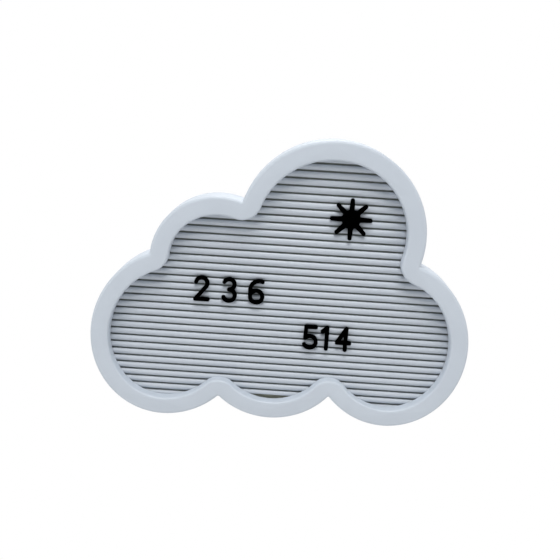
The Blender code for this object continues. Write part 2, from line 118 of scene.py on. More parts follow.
def pick(kind, wanted):
    """In edit mode, selects only the vertices, edges or faces that pass a test."""
    bpy.ops.mesh.select_mode(type=kind)
    bpy.ops.mesh.select_all(action="DESELECT")
    mesh = bpy.context.edit_object.data
    form = bmesh.from_edit_mesh(mesh)
    for part in {"VERT": form.verts, "EDGE": form.edges, "FACE": form.faces}[kind]:
        if wanted(part):
            part.select_set(True)
    form.select_flush_mode()
    bmesh.update_edit_mesh(mesh)


def pull(y):
    """Extrudes what is selected along Y."""
    bpy.ops.mesh.extrude_region_move(TRANSFORM_OT_translate={"value": (0.0, y, 0.0)})


def face_corners(piece):
    """The vertices of the piece that is open in edit mode."""
    return bmesh.from_edit_mesh(piece.data).verts


def middle(edge):
    """The middle of an edge."""
    return (edge.verts[0].co + edge.verts[1].co) / 2


def is_corner(edge, degrees=60.0):
    """True for an edge between two faces that meet at more than an angle."""
    return len(edge.link_faces) == 2 and edge.calc_face_angle(0.0) > math.radians(degrees)


def near(a, b, within=0.02 * MM):
    """True if two lengths are the same to a fiftieth of a millimetre."""
    return abs(a - b) < within


def lobe(index):
    """One lobe of the cloud: a disc stretched to its ellipse, leaned and moved, thicker than the last."""
    x, z, half_width, half_height, lean = LOBES[index]
    sides = round(math.pi * (half_width + half_height) * MM / LOBE_STEP)
    thickness = WALL * (index + 1)
    bpy.ops.mesh.primitive_cylinder_add(vertices=sides, radius=1.0, depth=thickness, rotation=ALONG_Y)
    disc = settled()
    disc.scale = (half_width * MM, 1.0, half_height * MM)
    disc.rotation_euler = (0.0, -math.radians(lean), 0.0)
    disc.location = (x * MM, 0.0, z * MM)
    return settled()


def is_notch(corner):
    """True for a vertex where the cloud's outline turns inwards."""
    return any(not loop.is_convex for loop in corner.link_loops)


def cloud_face():
    """The flat cloud in the wall's plane, facing the room: the lobes joined and cut, the notches rounded."""
    face, *others = [lobe(index) for index in range(len(LOBES))]
    face.name = "cloud"
    combine(face, "UNION", *others)
    edit(face)
    bpy.ops.mesh.bisect(plane_co=(0.0, 0.0, 0.0), plane_no=(0.0, 1.0, 0.0),
                        clear_inner=True, clear_outer=True)
    bpy.ops.mesh.select_all(action="SELECT")
    bpy.ops.mesh.remove_doubles(threshold=OUTLINE_MERGE)
    bpy.ops.mesh.edge_face_add()
    pick("VERT", is_notch)
    notches = [corner.co.copy() for corner in face_corners(face) if corner.select]
    pick("VERT", lambda corner: any(0 < (corner.co - notch).length < NOTCH_CLEARED for notch in notches))
    bpy.ops.mesh.dissolve_verts()
    pick("VERT", is_notch)
    bpy.ops.mesh.bevel(offset=NOTCH_REACH, segments=NOTCH_STEPS, profile=0.5, affect="VERTICES",
                       clamp_overlap=False)
    if bmesh.from_edit_mesh(face.data).faces[:][0].normal.y > 0:
        bpy.ops.mesh.select_all(action="SELECT")
        bpy.ops.mesh.flip_normals()
    leave()
    return face


def plate(name, inset, front_y, back_y):
    """A closed plate of the cloud's shape, smaller all round by an inset."""
    choose(cloud)
    bpy.ops.object.duplicate()
    piece = settled(name)
    edit(piece)
    bpy.ops.mesh.select_mode(type="FACE")
    if inset:
        bpy.ops.mesh.inset(thickness=inset)
        bpy.ops.mesh.select_all(action="INVERT")
        bpy.ops.mesh.delete(type="FACE")
        bpy.ops.mesh.select_all(action="SELECT")
    bpy.ops.transform.translate(value=(0.0, back_y, 0.0))
    pull(front_y - back_y)
    bpy.ops.mesh.select_all(action="SELECT")
    bpy.ops.mesh.normals_make_consistent(inside=False)
    leave()
    return piece


def combine(piece, operation, *shapes, solver="EXACT"):
    """Joins shapes to a piece, or cuts it with them, and uses them up."""
    for shape in shapes:
        modifier = piece.modifiers.new("Boolean", "BOOLEAN")
        modifier.operation = operation
        modifier.solver = solver
        modifier.object = shape
        choose(piece)
        bpy.ops.object.modifier_apply(modifier="Boolean")
        bpy.data.objects.remove(shape)


def tidy(piece):
    """Merges what the cuts left double, joins the splits in flat faces, and smooths the round ones."""
    edit(piece)
    bpy.ops.mesh.remove_doubles(threshold=MERGE)
    bpy.ops.mesh.dissolve_degenerate(threshold=MERGE)
    bpy.ops.mesh.dissolve_limited(angle_limit=FLAT_ANGLE)
    bpy.ops.mesh.delete_loose()
    leave()
    bpy.ops.object.shade_smooth_by_angle(angle=SMOOTH_ANGLE)


def frame_shell():
    """The ring's outer skin: the cloud drawn forward, rounded, inset to the ring's width and drawn back."""
    shell = plate("moulded_frame", 0.0, FACE_Y + OUTER_EDGE_RADIUS + FLAT_MARGIN, 0.0)
    edit(shell)
    pick("FACE", lambda face: face.normal.y < -0.9)
    pull(-OUTER_EDGE_RADIUS - FLAT_MARGIN)
    pick("EDGE", lambda edge: is_corner(edge) and near(middle(edge).y, FACE_Y))
    bpy.ops.mesh.bevel(offset=OUTER_EDGE_RADIUS, segments=OUTER_EDGE_STEPS, profile=0.5, clamp_overlap=False)
    pick("FACE", lambda face: face.normal.y < -0.999 and len(face.verts) > 4)
    flat = RING_WIDTH - OUTER_EDGE_RADIUS - INNER_EDGE_RADIUS - 2 * FLAT_MARGIN
    bpy.ops.mesh.inset(thickness=FLAT_MARGIN)
    bpy.ops.mesh.inset(thickness=flat)
    bpy.ops.mesh.inset(thickness=INNER_EDGE_RADIUS + FLAT_MARGIN)
    pull(INNER_EDGE_RADIUS + FLAT_MARGIN)
    pull(INNER_WALL_END_Y - FACE_Y - INNER_EDGE_RADIUS - FLAT_MARGIN)
    bpy.ops.mesh.delete(type="FACE")
    pick("FACE", lambda face: face.normal.y > 0.999)
    bpy.ops.mesh.delete(type="FACE")
    pick("EDGE", lambda edge: is_corner(edge) and near(middle(edge).y, FACE_Y))
    bpy.ops.mesh.bevel(offset=INNER_EDGE_RADIUS, segments=INNER_EDGE_STEPS, profile=0.5, clamp_overlap=False)
    leave()
    return shell


def boss(name):
    """The boss for one screw: a post from behind the face, bored from the back."""
    low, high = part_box(name)
    inside_y = FACE_Y + WALL / 2
    place = ((low.x + high.x) / 2, (inside_y + BOSS_END_Y) / 2, (low.z + high.z) / 2)
    bpy.ops.mesh.primitive_cylinder_add(vertices=BOSS_SIDES, radius=BOSS_RADIUS, depth=BOSS_END_Y - inside_y,
                                        location=place, rotation=ALONG_Y)
    post = settled()
    edit(post)
    pick("FACE", lambda face: face.normal.y > 0.9)
    bpy.ops.mesh.inset(thickness=BOSS_RADIUS - BOSS_BORE_RADIUS)
    pull(-BOSS_BORE_DEPTH)
    leave()
    return post


class Value:
    """A number, colour or direction in a material, so that shading is written as plain sums."""

    def __init__(self, finish, socket):
        self.finish = finish
        self.socket = socket

    def sum(self, operation, *others):
        """A Math node on this value and others."""
        return self.finish.node("ShaderNodeMath", inputs=(self, *others), operation=operation)

    def __add__(self, other):
        return self.sum("ADD", other)

    def __sub__(self, other):
        return self.sum("SUBTRACT", other)

    def __rsub__(self, other):
        return self.finish.node("ShaderNodeMath", inputs=(other, self), operation="SUBTRACT")

    def __mul__(self, other):
        return self.sum("MULTIPLY", other)

    __radd__ = __add__
    __rmul__ = __mul__


class Finish:
    """A material that is built around its own Principled shader."""

    def __init__(self, name, **constants):
        self.material = bpy.data.materials.new(name)
        self.material.use_nodes = True
        self.tree = self.material.node_tree
        self.shader = self.tree.nodes["Principled BSDF"]
        self.place = self.node("ShaderNodeTexCoord", output="Object")
        for socket, value in constants.items():
            self.shader.inputs[socket.replace("_", " ")].default_value = value

    def node(self, kind, inputs=(), output=0, **settings):
        """Any node, its inputs given in order or by name, its output by number or name."""
        node = self.tree.nodes.new(kind)
        for setting, value in settings.items():
            setattr(node, setting, value)
        pairs = inputs.items() if isinstance(inputs, dict) else enumerate(inputs)
        for key, value in pairs:
            if isinstance(value, Value):
                self.tree.links.new(value.socket, node.inputs[key])
            else:
                node.inputs[key].default_value = value
        return Value(self, node.outputs[output])

    def noise(self, size, detail=2.0, stretch=(1.0, 1.0, 1.0)):
        """Soft noise between 0 and 1 whose blotches are about a size across."""
        at = self.node("ShaderNodeMapping", {"Vector": self.place, "Scale": stretch})
        return self.node("ShaderNodeTexNoise", {"Vector": at, "Scale": 1.0 / size, "Detail": detail})

    def along(self, axis):
        """The place along X, Y or Z in metres."""
        return self.node("ShaderNodeSeparateXYZ", (self.place,), output=axis)

    def range(self, value, low, high, start=0.0, end=1.0):
        """A value's share of the way from low to high, eased, and spread between start and end."""
        inputs = {"Value": value, "From Min": low, "From Max": high, "To Min": start, "To Max": end}
        return self.node("ShaderNodeMapRange", inputs, interpolation_type="SMOOTHSTEP")

    def blend(self, factor, first, second):
        """One colour turning into another."""
        colours = [colour if isinstance(colour, Value) else (*colour, 1.0) for colour in (first, second)]
        inputs = {0: factor, 6: colours[0], 7: colours[1]}
        return self.node("ShaderNodeMix", inputs, output=2, data_type="RGBA")

    def relief(self, *layers):
        """Bumps laid over each other, each a height between 0 and 1 and its depth in metres."""
        normal = None
        for height, depth in layers:
            inputs = {"Strength": 1.0, "Distance": depth, "Height": height}
            if normal:
                inputs["Normal"] = normal
            normal = self.node("ShaderNodeBump", inputs)
        return normal

    def feed(self, socket, value):
        """Joins a varying value to the shader."""
        self.tree.links.new(value.socket, self.shader.inputs[socket])


def dress(piece, material, node):
    """Gives a finished piece its material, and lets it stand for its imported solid."""
    piece.data.materials.clear()
    piece.data.materials.append(material)
    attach(piece, "root")
    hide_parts(node)


def white_plastic():
    """Cool white satin moulding with a fine texture, a faint cloudiness, and a gloss that varies with it."""
    finish = Finish("white_plastic", IOR=1.47, Specular_IOR_Level=0.42)
    cloudiness = finish.noise(38 * MM, 3.0)
    grain = finish.noise(0.55 * MM, 2.0)
    tone = finish.range(cloudiness, 0.3, 0.7)
    finish.feed("Base Color", finish.blend(tone, (0.522, 0.577, 0.648), (0.542, 0.598, 0.670)))
    finish.feed("Roughness", finish.range(cloudiness, 0.25, 0.75, 0.40, 0.50) + grain * 0.05)
    finish.feed("Normal", finish.relief((finish.noise(9 * MM, 1.0), 0.02 * MM), (grain, 0.006 * MM)))
    return finish.material


cloud = cloud_face()
ring = frame_shell()
modifier = ring.modifiers.new("Walls", "SOLIDIFY")
modifier.thickness = WALL
modifier.offset = -1.0
modifier.use_even_offset = True
choose(ring)
bpy.ops.object.modifier_apply(modifier="Walls")
screws = sorted(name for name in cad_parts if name.startswith("cover_screw"))
combine(ring, "UNION", *[boss(name) for name in screws])
tidy(ring)
dress(ring, white_plastic(), "frame")

# Letter panel: one white moulding behind the ring. Level ribs with crowned fronts stand a slot apart, and
# each slot is just wide enough to grip a character's fin. Painted shade darkens the slots' floors to greenish
# grey, and the wide floor at the foot is painted a paler olive where more light reaches it.
PITCH = 5.33 * MM
SLOT_WIDTH = 1.3 * MM
TOP_SLOT_Z = 87.8 * MM
SLOT_COUNT = 34
HIDDEN_RIBS = 2
RIB_MERGE = 0.005 * MM
CREST_Y = -10.3 * MM
SLOT_FLOOR_Y = -7.3 * MM
PANEL_BACK_Y = -5.7 * MM
PANEL_INSET = 10.1 * MM
CROWN = 1.0 * MM
CROWN_STRIPS = 10
SLOT_LIP = 0.18 * MM
FOOT_X = -3.8 * MM
FOOT_Z = -86.2 * MM
FOOT_HALF_WIDTH = 30.0 * MM


def block(low, high):
    """A plain block between two corners, to be shaped further."""
    bpy.ops.mesh.primitive_cube_add(size=1.0, location=[(a + b) / 2 for a, b in zip(low, high)])
    bpy.context.object.scale = [b - a for a, b in zip(low, high)]
    return settled()


def one_rib(top_z, reach):
    """One pitch of the panel: a rib between two half slots, its front a crown with eased lips."""
    low_z = top_z - PITCH
    rib = block((-reach, SLOT_FLOOR_Y, low_z), (reach, PANEL_BACK_Y, top_z))
    edit(rib)
    for z in (top_z - SLOT_WIDTH / 2, low_z + SLOT_WIDTH / 2):
        bpy.ops.mesh.select_all(action="SELECT")
        bpy.ops.mesh.bisect(plane_co=(0.0, 0.0, z), plane_no=(0.0, 0.0, 1.0))
    pick("FACE", lambda face: face.normal.y < -0.9 and near(face.calc_center_median().z, top_z - PITCH / 2))
    shoulder_y = CREST_Y + CROWN
    pull(shoulder_y - SLOT_FLOOR_Y)
    pick("EDGE", lambda edge: near(middle(edge).y, shoulder_y) and near(abs(middle(edge).x), reach))
    bpy.ops.mesh.subdivide(number_cuts=CROWN_STRIPS - 1)
    half = (PITCH - SLOT_WIDTH) / 2
    for strip in range(1, CROWN_STRIPS):
        across = 1.0 - 2.0 * strip / CROWN_STRIPS
        z = top_z - PITCH / 2 + across * half
        pick("VERT", lambda corner: near(corner.co.y, shoulder_y) and near(corner.co.z, z))
        bpy.ops.transform.translate(value=(0.0, -CROWN * (1.0 - across ** 2), 0.0))
    pick("EDGE", lambda edge: is_corner(edge, 40.0) and near(middle(edge).y, shoulder_y)
         and near(middle(edge).x, 0.0))
    bpy.ops.mesh.bevel(offset=SLOT_LIP, segments=3, profile=0.5, clamp_overlap=False)
    pick("FACE", lambda face: near(face.calc_center_median().z, top_z)
         or near(face.calc_center_median().z, low_z))
    bpy.ops.mesh.delete(type="FACE")
    leave()
    return rib


def ribbed_panel():
    """The rib repeated down the board, then cut to the cloud, and down to the slots' floor at its foot."""
    low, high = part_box("letter_panel")
    panel = one_rib(TOP_SLOT_Z + HIDDEN_RIBS * PITCH, high.x + PITCH)
    panel.name = "ribbed_panel"
    panel.data.name = "ribbed_panel"
    rows = panel.modifiers.new("Ribs", "ARRAY")
    rows.count = SLOT_COUNT + 2 * HIDDEN_RIBS
    rows.use_relative_offset = False
    rows.use_constant_offset = True
    rows.constant_offset_displace = (0.0, 0.0, -PITCH)
    rows.use_merge_vertices = True
    rows.merge_threshold = RIB_MERGE
    choose(panel)
    bpy.ops.object.modifier_apply(modifier="Ribs")
    edit(panel)
    bpy.ops.mesh.select_all(action="DESELECT")
    bpy.ops.mesh.select_non_manifold()
    bpy.ops.mesh.fill_holes(sides=0)
    leave()
    combine(panel, "INTERSECT", plate("panel_cut", PANEL_INSET, CREST_Y - PITCH, PANEL_BACK_Y + PITCH))
    low = (FOOT_X - FOOT_HALF_WIDTH, CREST_Y - PITCH, FOOT_Z - 3 * PITCH)
    combine(panel, "DIFFERENCE", block(low, (FOOT_X + FOOT_HALF_WIDTH, SLOT_FLOOR_Y, FOOT_Z)))
    tidy(panel)
    return panel


def panel_plastic():
    """Darker, glossier white than the frame's, with painted shade in the slots and painted light on the
    foot's floor.
    """
    finish = Finish("panel_plastic", IOR=1.47, Specular_IOR_Level=0.5)
    cloudiness = finish.noise(30 * MM, 3.0)
    grain = finish.noise(0.5 * MM, 2.0)
    drawn = finish.noise(1.2 * MM, 2.0, stretch=(0.04, 1.0, 1.0))
    # Painted shade: the colour darkens from the ribs' crowns down to each slot's floor, where less light
    # reaches.
    depth = finish.range(finish.along("Y"), CREST_Y + CROWN, SLOT_FLOOR_Y)
    aside = (finish.along("X") - FOOT_X).sum("ABSOLUTE")
    above = finish.range(finish.along("Z"), FOOT_Z - SLOT_LIP, FOOT_Z)
    beside = finish.range(aside, FOOT_HALF_WIDTH - PITCH, FOOT_HALF_WIDTH)
    unshaded = finish.blend(finish.range(cloudiness, 0.3, 0.7), (0.452, 0.498, 0.560), (0.478, 0.524, 0.586))
    # Painted light: at the foot the slot-floor colour turns a paler olive, as the wide floor there is more
    # lit.
    painted_slot_shade = finish.blend((1 - above) * (1 - beside), (0.18, 0.20, 0.18), (0.50, 0.52, 0.41))
    finish.feed("Base Color", finish.blend(depth, unshaded, painted_slot_shade))
    finish.feed("Roughness", finish.range(cloudiness, 0.25, 0.75, 0.32, 0.42) + drawn * 0.06)
    finish.feed("Normal", finish.relief((drawn, 0.01 * MM), (grain, 0.004 * MM)))
    return finish.material


panel = ribbed_panel()
dress(panel, panel_plastic(), "letter_panel")

# Digits: six black mouldings of one stroke width, flat in front with a rounded rim. Each plugs into two
# slots, three apart, by the short fins on its back.
STROKE = 2.9 * MM
CHARACTER_BACK_Y = -10.6 * MM
CHARACTER_FRONT_Y = -12.6 * MM
RIM_RADIUS = 0.35 * MM
TURN_STEP_DEGREES = 9
END_ROUNDING = 0.48
END_STEPS = 7
FIN_THICKNESS = 0.7 * MM
FIN_WIDTH = 2.0 * MM
FIN_END_Y = -8.1 * MM
FIN_SINK = 1.0 * MM
FIN_SLOTS_APART = 3
# The strokes of each digit about its middle: where the pen starts in x and z, its heading, and then its
# runs, each a length in mm, and its turns, each a radius in mm and degrees anticlockwise. The fins' places in
# x come last.
DIGITS = {
    "digit_one": (((-3.3, 5.0, 42.8, (4.5,)), (0.0, 8.05, -90.0, (16.1,))), (0.0, 0.0)),
    "digit_two": (((-4.0, 4.7, 80.0, ((4.05, -208.6), 12.2)), (-4.45, -8.05, 0.0, (8.9,))), (0.0, 0.0)),
    "digit_three": (((-3.4, 5.9, 65.0, ((3.8, -245.0),)), (0.0, 0.45, 0.0, ((4.25, -245.0),))), (0.0, 0.0)),
    "digit_four": (
        ((1.6, 8.05, -90.0, (16.1,)), (1.5, 8.0, -119.5, (12.35,)), (-4.45, -2.75, 0.0, (8.9,))),
        (1.6, 1.6)),
    "digit_five": (
        ((3.8, 8.05, 180.0, (6.9,)), (-3.1, 8.05, -92.0, (8.7,)), (-3.4, -0.65, 50.0, ((4.5, -290.0),))),
        (0.0, 0.0)),
    "digit_six": (
        ((4.2, 7.65, 160.0, ((6.4, 110.0), 5.3, (4.4, 180.0))), (-4.4, -3.65, 90.0, ((4.4, -180.0),))),
        (1.2, 0.0)),
}
UPPER_GROUP = ("digit_two", "digit_three", "digit_six")
UPPER_GROUP_X = -57.2 * MM
UPPER_GROUP_SPACING = 19.6 * MM
UPPER_GROUP_SLOT = 16
LOWER_GROUP = ("digit_five", "digit_one", "digit_four")
LOWER_GROUP_X = 22.6 * MM
LOWER_GROUP_SPACING = 12.2 * MM
LOWER_GROUP_SLOT = 22


def slot_z(index):
    """The height of a slot's middle, counted from the top slot."""
    return TOP_SLOT_Z - PITCH * index


def ease_rim(radius=RIM_RADIUS):
    """In edit mode, rounds the rim of a character's front."""
    pick("EDGE", lambda edge: is_corner(edge) and near(middle(edge).y, CHARACTER_FRONT_Y))
    bpy.ops.mesh.bevel(offset=radius, segments=3, profile=0.5, clamp_overlap=False)


def pen_stroke(x, z, degrees, moves):
    """A bar of the stroke's section drawn out along runs and turns, with round ends and a rounded rim."""
    heading = math.radians(degrees)
    x -= STROKE / 2 * math.cos(heading)
    z -= STROKE / 2 * math.sin(heading)
    thickness = CHARACTER_BACK_Y - CHARACTER_FRONT_Y
    bpy.ops.mesh.primitive_plane_add(size=1.0, location=(x, CHARACTER_BACK_Y - thickness / 2, z),
                                     rotation=(0.0, math.pi / 2 - heading, 0.0))
    bpy.context.object.scale = (STROKE, thickness, 1.0)
    bar = settled()
    edit(bar)
    bpy.ops.mesh.select_mode(type="FACE")
    for move in (STROKE / 2 / MM, *moves, STROKE / 2 / MM):
        if isinstance(move, tuple):
            radius, turn = move[0] * MM, math.radians(move[1])
            side = math.copysign(radius, turn)
            centre = (x - side * math.sin(heading), z + side * math.cos(heading))
            steps = max(3, round(abs(move[1]) / TURN_STEP_DEGREES))
            bpy.ops.mesh.spin(steps=steps, angle=turn, center=(centre[0], 0.0, centre[1]),
                              axis=(0.0, 1.0, 0.0))
            heading += turn
            x, z = centre[0] + side * math.sin(heading), centre[1] - side * math.cos(heading)
        else:
            run = move * MM
            value = (run * math.cos(heading), 0.0, run * math.sin(heading))
            bpy.ops.mesh.extrude_region_move(TRANSFORM_OT_translate={"value": value})
            x, z = x + value[0], z + value[2]
    bpy.ops.mesh.select_all(action="SELECT")
    bpy.ops.mesh.normals_make_consistent(inside=False)
    pick("EDGE", lambda edge: is_corner(edge) and near(middle(edge).y, CHARACTER_BACK_Y - thickness / 2))
    bpy.ops.mesh.bevel(offset=END_ROUNDING * STROKE, segments=END_STEPS, profile=0.5, clamp_overlap=False)
    ease_rim()
    leave()
    return bar


def fin(x, z, width):
    """A thin fin on a character's back, down in its slot."""
    low = (x - width / 2, CHARACTER_BACK_Y - FIN_SINK, z - FIN_THICKNESS / 2)
    return block(low, (x + width / 2, FIN_END_Y, z + FIN_THICKNESS / 2))


def digit(name, x, upper_slot):
    """One digit, its strokes joined and its two fins behind it."""
    strokes, fins = DIGITS[name]
    upper_z, lower_z = slot_z(upper_slot), slot_z(upper_slot + FIN_SLOTS_APART)
    middle_z = (upper_z + lower_z) / 2
    bars = [pen_stroke(x + across * MM, middle_z + up * MM, degrees, moves)
            for across, up, degrees, moves in strokes]
    piece = bars[0]
    piece.name = name.replace("digit", "black_digit")
    piece.data.name = piece.name
    fin_pieces = [fin(x + across * MM, z, FIN_WIDTH) for across, z in zip(fins, (upper_z, lower_z))]
    combine(piece, "UNION", *bars[1:], *fin_pieces, solver="MANIFOLD")
    tidy(piece)
    return piece


def black_plastic():
    """Deep black matt moulding, faintly cloudy and finely grained."""
    finish = Finish("black_plastic", IOR=1.46, Specular_IOR_Level=0.0)
    cloudiness = finish.noise(5 * MM, 3.0)
    grain = finish.noise(0.3 * MM, 2.0)
    finish.feed("Base Color", finish.blend(cloudiness, (0.0002, 0.0002, 0.0002), (0.0004, 0.0004, 0.0005)))
    finish.feed("Roughness", finish.range(cloudiness, 0.2, 0.8, 0.38, 0.55))
    finish.feed("Normal", finish.relief((grain, 0.006 * MM)))
    return finish.material


BLACK = black_plastic()
for group, first_x, spacing, upper_slot in (
        (UPPER_GROUP, UPPER_GROUP_X, UPPER_GROUP_SPACING, UPPER_GROUP_SLOT),
        (LOWER_GROUP, LOWER_GROUP_X, LOWER_GROUP_SPACING, LOWER_GROUP_SLOT)):
    for place, name in enumerate(group):
        dress(digit(name, first_x + spacing * place, upper_slot), BLACK, name)

# Sun: a black moulding of the same thickness as the digits, a disc with eight rays that narrow to round
# tips. Its two wider fins plug in over and under its middle.
SUN_X = 44.7 * MM
SUN_RISE = 0.6 * MM
SUN_SLOT = 7
SUN_RAYS = 8
SUN_RADIUS = 14.7 * MM
SUN_DISC_RADIUS = 6.6 * MM
SUN_DISC_SIDES = 72
SUN_RAY_ROOT = 4.0 * MM
SUN_RAY_TIP = 2.6 * MM
SUN_TIP_ROUNDING = 0.46
SUN_RAY_RIM_RADIUS = 0.25 * MM
SUN_FIN_WIDTH = 3.6 * MM


def sun_ray(degrees):
    """One ray: a block from inside the disc, its outer end narrowed and rounded, turned to its direction."""
    low = (SUN_DISC_RADIUS / 2, CHARACTER_FRONT_Y, -SUN_RAY_ROOT / 2)
    ray = block(low, (SUN_RADIUS, CHARACTER_BACK_Y, SUN_RAY_ROOT / 2))
    edit(ray)
    pick("FACE", lambda face: face.normal.x > 0.9)
    bpy.ops.transform.resize(value=(1.0, 1.0, SUN_RAY_TIP / SUN_RAY_ROOT))
    pick("EDGE", lambda edge: near(middle(edge).x, SUN_RADIUS) and abs(middle(edge).z) > SUN_RAY_TIP / 4)
    bpy.ops.mesh.bevel(offset=SUN_TIP_ROUNDING * SUN_RAY_TIP, segments=END_STEPS, profile=0.5,
                       clamp_overlap=False)
    ease_rim(SUN_RAY_RIM_RADIUS)
    leave()
    ray.rotation_euler = (0.0, math.radians(degrees), 0.0)
    ray.location = (SUN_X, 0.0, slot_z(SUN_SLOT) + SUN_RISE)
    choose(ray)
    return settled()


def sun_piece():
    """The disc with its rays and fins."""
    thickness = CHARACTER_BACK_Y - CHARACTER_FRONT_Y
    centre = (SUN_X, CHARACTER_BACK_Y - thickness / 2, slot_z(SUN_SLOT) + SUN_RISE)
    bpy.ops.mesh.primitive_cylinder_add(vertices=SUN_DISC_SIDES, radius=SUN_DISC_RADIUS, depth=thickness,
                                        location=centre, rotation=ALONG_Y)
    disc = settled("black_sun")
    edit(disc)
    ease_rim()
    leave()
    rays = [sun_ray(360.0 * index / SUN_RAYS) for index in range(SUN_RAYS)]
    fins = [fin(SUN_X, slot_z(SUN_SLOT + step), SUN_FIN_WIDTH) for step in (-1, 1)]
    combine(disc, "UNION", *rays, *fins)
    tidy(disc)
    return disc


dress(sun_piece(), BLACK, "sun_symbol")

# Back cover: a flat grained plate that lies in the back of the ring, flush with its edge. Pegs on its inner
# side hold the panel forward, and two keyholes hang the board on wall screws.
COVER_INSET = 2.3 * MM
COVER_FRONT_Y = -2.4 * MM
COVER_EDGE_RADIUS = 0.3 * MM
PEG_RADIUS = 2.0 * MM
PEG_END_Y = -5.4 * MM
# The pegs' places in x and z in mm: eight near the panel's edge, and three across the middle.
PEGS = (
    (33, 87), (78, 25), (119, -47), (56, -74), (-23, -80), (-103, -81), (-100, -4), (-36, 44),
    (0, 0), (-42, 0), (42, 0),
)
SCREW_HOLE_RADIUS = 1.5 * MM
COUNTERBORE_RADIUS = 2.8 * MM
COUNTERBORE_DEPTH = 1.6 * MM
KEYHOLE_X = 50.0 * MM
KEYHOLE_Z = 30.0 * MM
KEYHOLE_RADIUS = 4.0 * MM
KEYHOLE_SLOT_WIDTH = 4.2 * MM
KEYHOLE_RISE = 8.0 * MM


def rod(x, z, radius, front_y, back_y, sides=32):
    """A round rod along Y, to join or to cut with."""
    bpy.ops.mesh.primitive_cylinder_add(vertices=sides, radius=radius, depth=back_y - front_y,
                                        location=(x, (front_y + back_y) / 2, z), rotation=ALONG_Y)
    return settled()


def keyhole(x):
    """What cuts a keyhole: a round hole for the screw's head, and over it a narrow slot with a round end."""
    beyond = -COVER_FRONT_Y
    hole = rod(x, KEYHOLE_Z, KEYHOLE_RADIUS, COVER_FRONT_Y - beyond, beyond, 40)
    half = KEYHOLE_SLOT_WIDTH / 2
    top = KEYHOLE_Z + KEYHOLE_RISE
    shaft = block((x - half, COVER_FRONT_Y - beyond, KEYHOLE_Z), (x + half, beyond, top))
    combine(hole, "UNION", shaft, rod(x, top, half, COVER_FRONT_Y - beyond, beyond, 24))
    return hole


def cover_plate():
    """The cover, with its pegs, its counterbored screw holes and its keyholes."""
    cover = plate("moulded_cover", COVER_INSET, COVER_FRONT_Y, 0.0)
    pegs = [rod(x * MM, z * MM, PEG_RADIUS, PEG_END_Y, COVER_FRONT_Y / 2, 20) for x, z in PEGS]
    combine(cover, "UNION", *pegs, solver="MANIFOLD")
    beyond = -COVER_FRONT_Y
    for name in screws:
        low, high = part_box(name)
        x, z = (low.x + high.x) / 2, (low.z + high.z) / 2
        hole = rod(x, z, SCREW_HOLE_RADIUS, COVER_FRONT_Y - beyond, beyond, 24)
        counterbore = rod(x, z, COUNTERBORE_RADIUS, -COUNTERBORE_DEPTH, beyond)
        combine(cover, "DIFFERENCE", hole, counterbore, solver="MANIFOLD")
    combine(cover, "DIFFERENCE", keyhole(-KEYHOLE_X), keyhole(KEYHOLE_X), solver="MANIFOLD")
    edit(cover)
    bpy.ops.mesh.remove_doubles(threshold=MERGE)
    bpy.ops.mesh.dissolve_limited(angle_limit=FLAT_ANGLE)
    pick("EDGE", lambda edge: is_corner(edge) and all(near(corner.co.y, 0.0) for corner in edge.verts))
    bpy.ops.mesh.bevel(offset=COVER_EDGE_RADIUS, segments=2, profile=0.5, clamp_overlap=True)
    leave()
    tidy(cover)
    return cover


def cover_plastic():
    """Off-white moulding with a fine spark-eroded grain and faint scuffs from the wall."""
    finish = Finish("cover_plastic", IOR=1.47, Specular_IOR_Level=0.4)
    cloudiness = finish.noise(45 * MM, 3.0)
    grain = finish.noise(0.9 * MM, 3.0)
    scuffs = finish.range(finish.noise(14 * MM, 6.0, stretch=(0.5, 1.0, 2.0)), 0.56, 0.72)
    plain = finish.blend(finish.range(cloudiness, 0.3, 0.7), (0.50, 0.52, 0.50), (0.56, 0.57, 0.54))
    finish.feed("Base Color", finish.blend(scuffs * 0.35, plain, (0.40, 0.40, 0.37)))
    finish.feed("Roughness", finish.range(grain, 0.3, 0.7, 0.50, 0.66) - scuffs * 0.08)
    finish.feed("Normal", finish.relief((grain, 0.05 * MM)))
    return finish.material


cover = cover_plate()
dress(cover, cover_plastic(), "back_cover")

# Cover screws: eight zinc-plated self-tapping screws with low round heads and cross recesses. They sit in
# the cover's counterbores, below its back, and reach into the ring's bosses.
SCREW_HEAD_RADIUS = 2.5 * MM
SCREW_HEAD_ROUNDING = 0.55 * MM
SCREW_SEAT_Y = -1.3 * MM
SCREW_HEAD_HEIGHT = 1.1 * MM
SCREW_SHANK_RADIUS = 1.2 * MM
SCREW_END_Y = -8.0 * MM
THREAD_DEPTH = 0.22 * MM
THREAD_TURNS = 7
THREAD_FLANK = 0.3
SCREW_POINT_SHARE = 0.45
RECESS_SPAN = 2.6 * MM
RECESS_WIDTH = 0.6 * MM
RECESS_DEPTH = 0.7 * MM
RECESS_FLOOR_SHARE = 0.7
SCREW_TURN_DEGREES = 37.0


